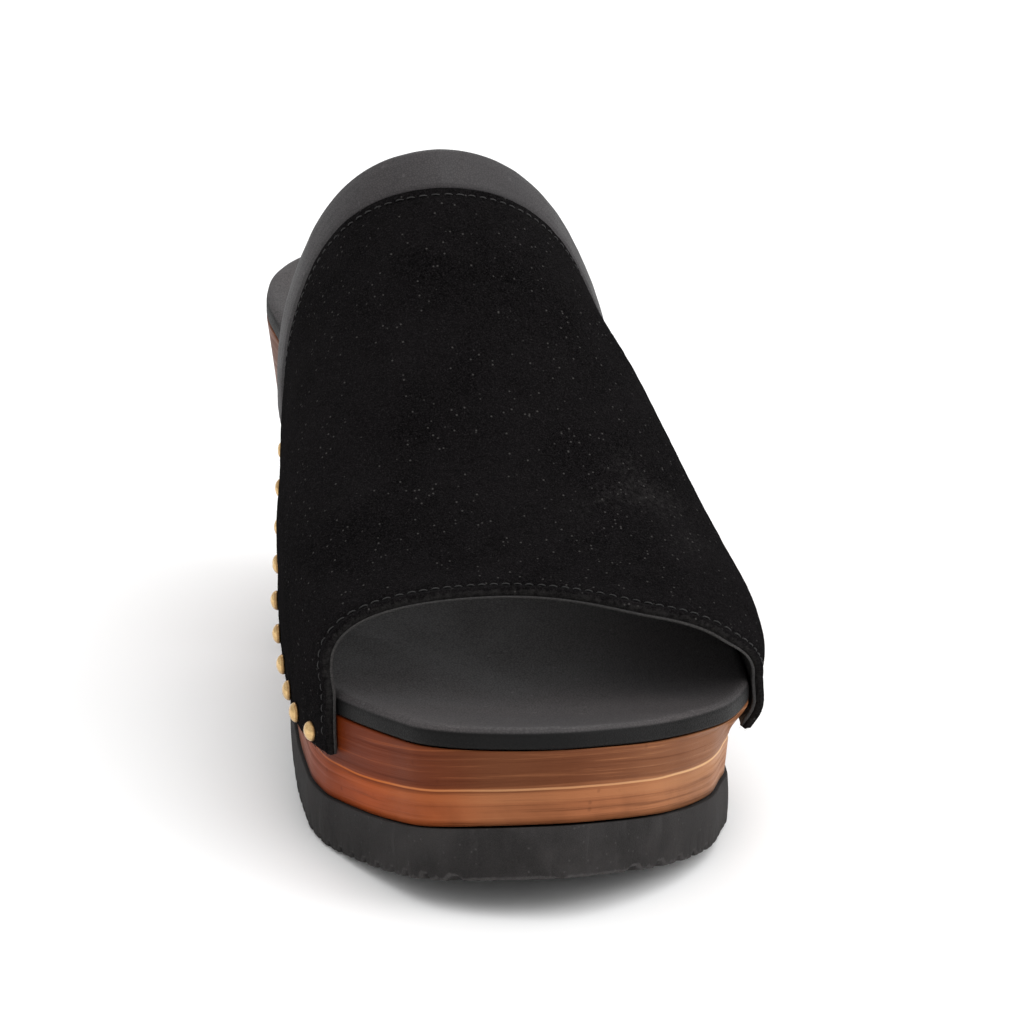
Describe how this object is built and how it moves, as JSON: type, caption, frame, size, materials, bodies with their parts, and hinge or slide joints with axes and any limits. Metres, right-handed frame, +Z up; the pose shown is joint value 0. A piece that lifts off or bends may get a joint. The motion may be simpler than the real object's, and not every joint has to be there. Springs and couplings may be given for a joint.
{
  "type": "suede mule",
  "caption": "Open-toe suede mule with a leather topline band, padded footbed, carved wooden platform and heel, nailed sides and ribbed rubber treads.",
  "frame": {"origin": "on the floor, under the middle of the heel", "axes": "+Z up, -Y towards the toe, -X towards the inner (big toe) side"},
  "size_m": [0.0982, 0.2281, 0.1255],
  "materials": {
    "suede": "black suede with a short matt nap",
    "collar_leather": "smooth black leather, soft sheen",
    "footbed_leather": "smooth charcoal leather, matt",
    "wood": "honey-brown stained wood, satin lacquer",
    "rubber": "matt charcoal rubber",
    "brass": "polished, slightly dull"
  },
  "bodies": {
    "root": {"wooden_sole": "wood", "footbed": "footbed_leather", "outsole": "rubber", "heel_lift": "rubber", "suede_vamp": "suede", "collar": "collar_leather", "nail_inner_01": "brass", "nail_inner_02": "brass", "nail_inner_03": "brass", "nail_inner_04": "brass", "nail_inner_05": "brass", "nail_inner_06": "brass", "nail_inner_07": "brass", "nail_inner_08": "brass", "nail_inner_09": "brass", "nail_inner_10": "brass", "nail_outer_01": "brass", "nail_outer_02": "brass", "nail_outer_03": "brass", "nail_outer_04": "brass", "nail_outer_05": "brass", "nail_outer_06": "brass", "nail_outer_07": "brass", "nail_outer_08": "brass"}
  },
  "joints": []
}
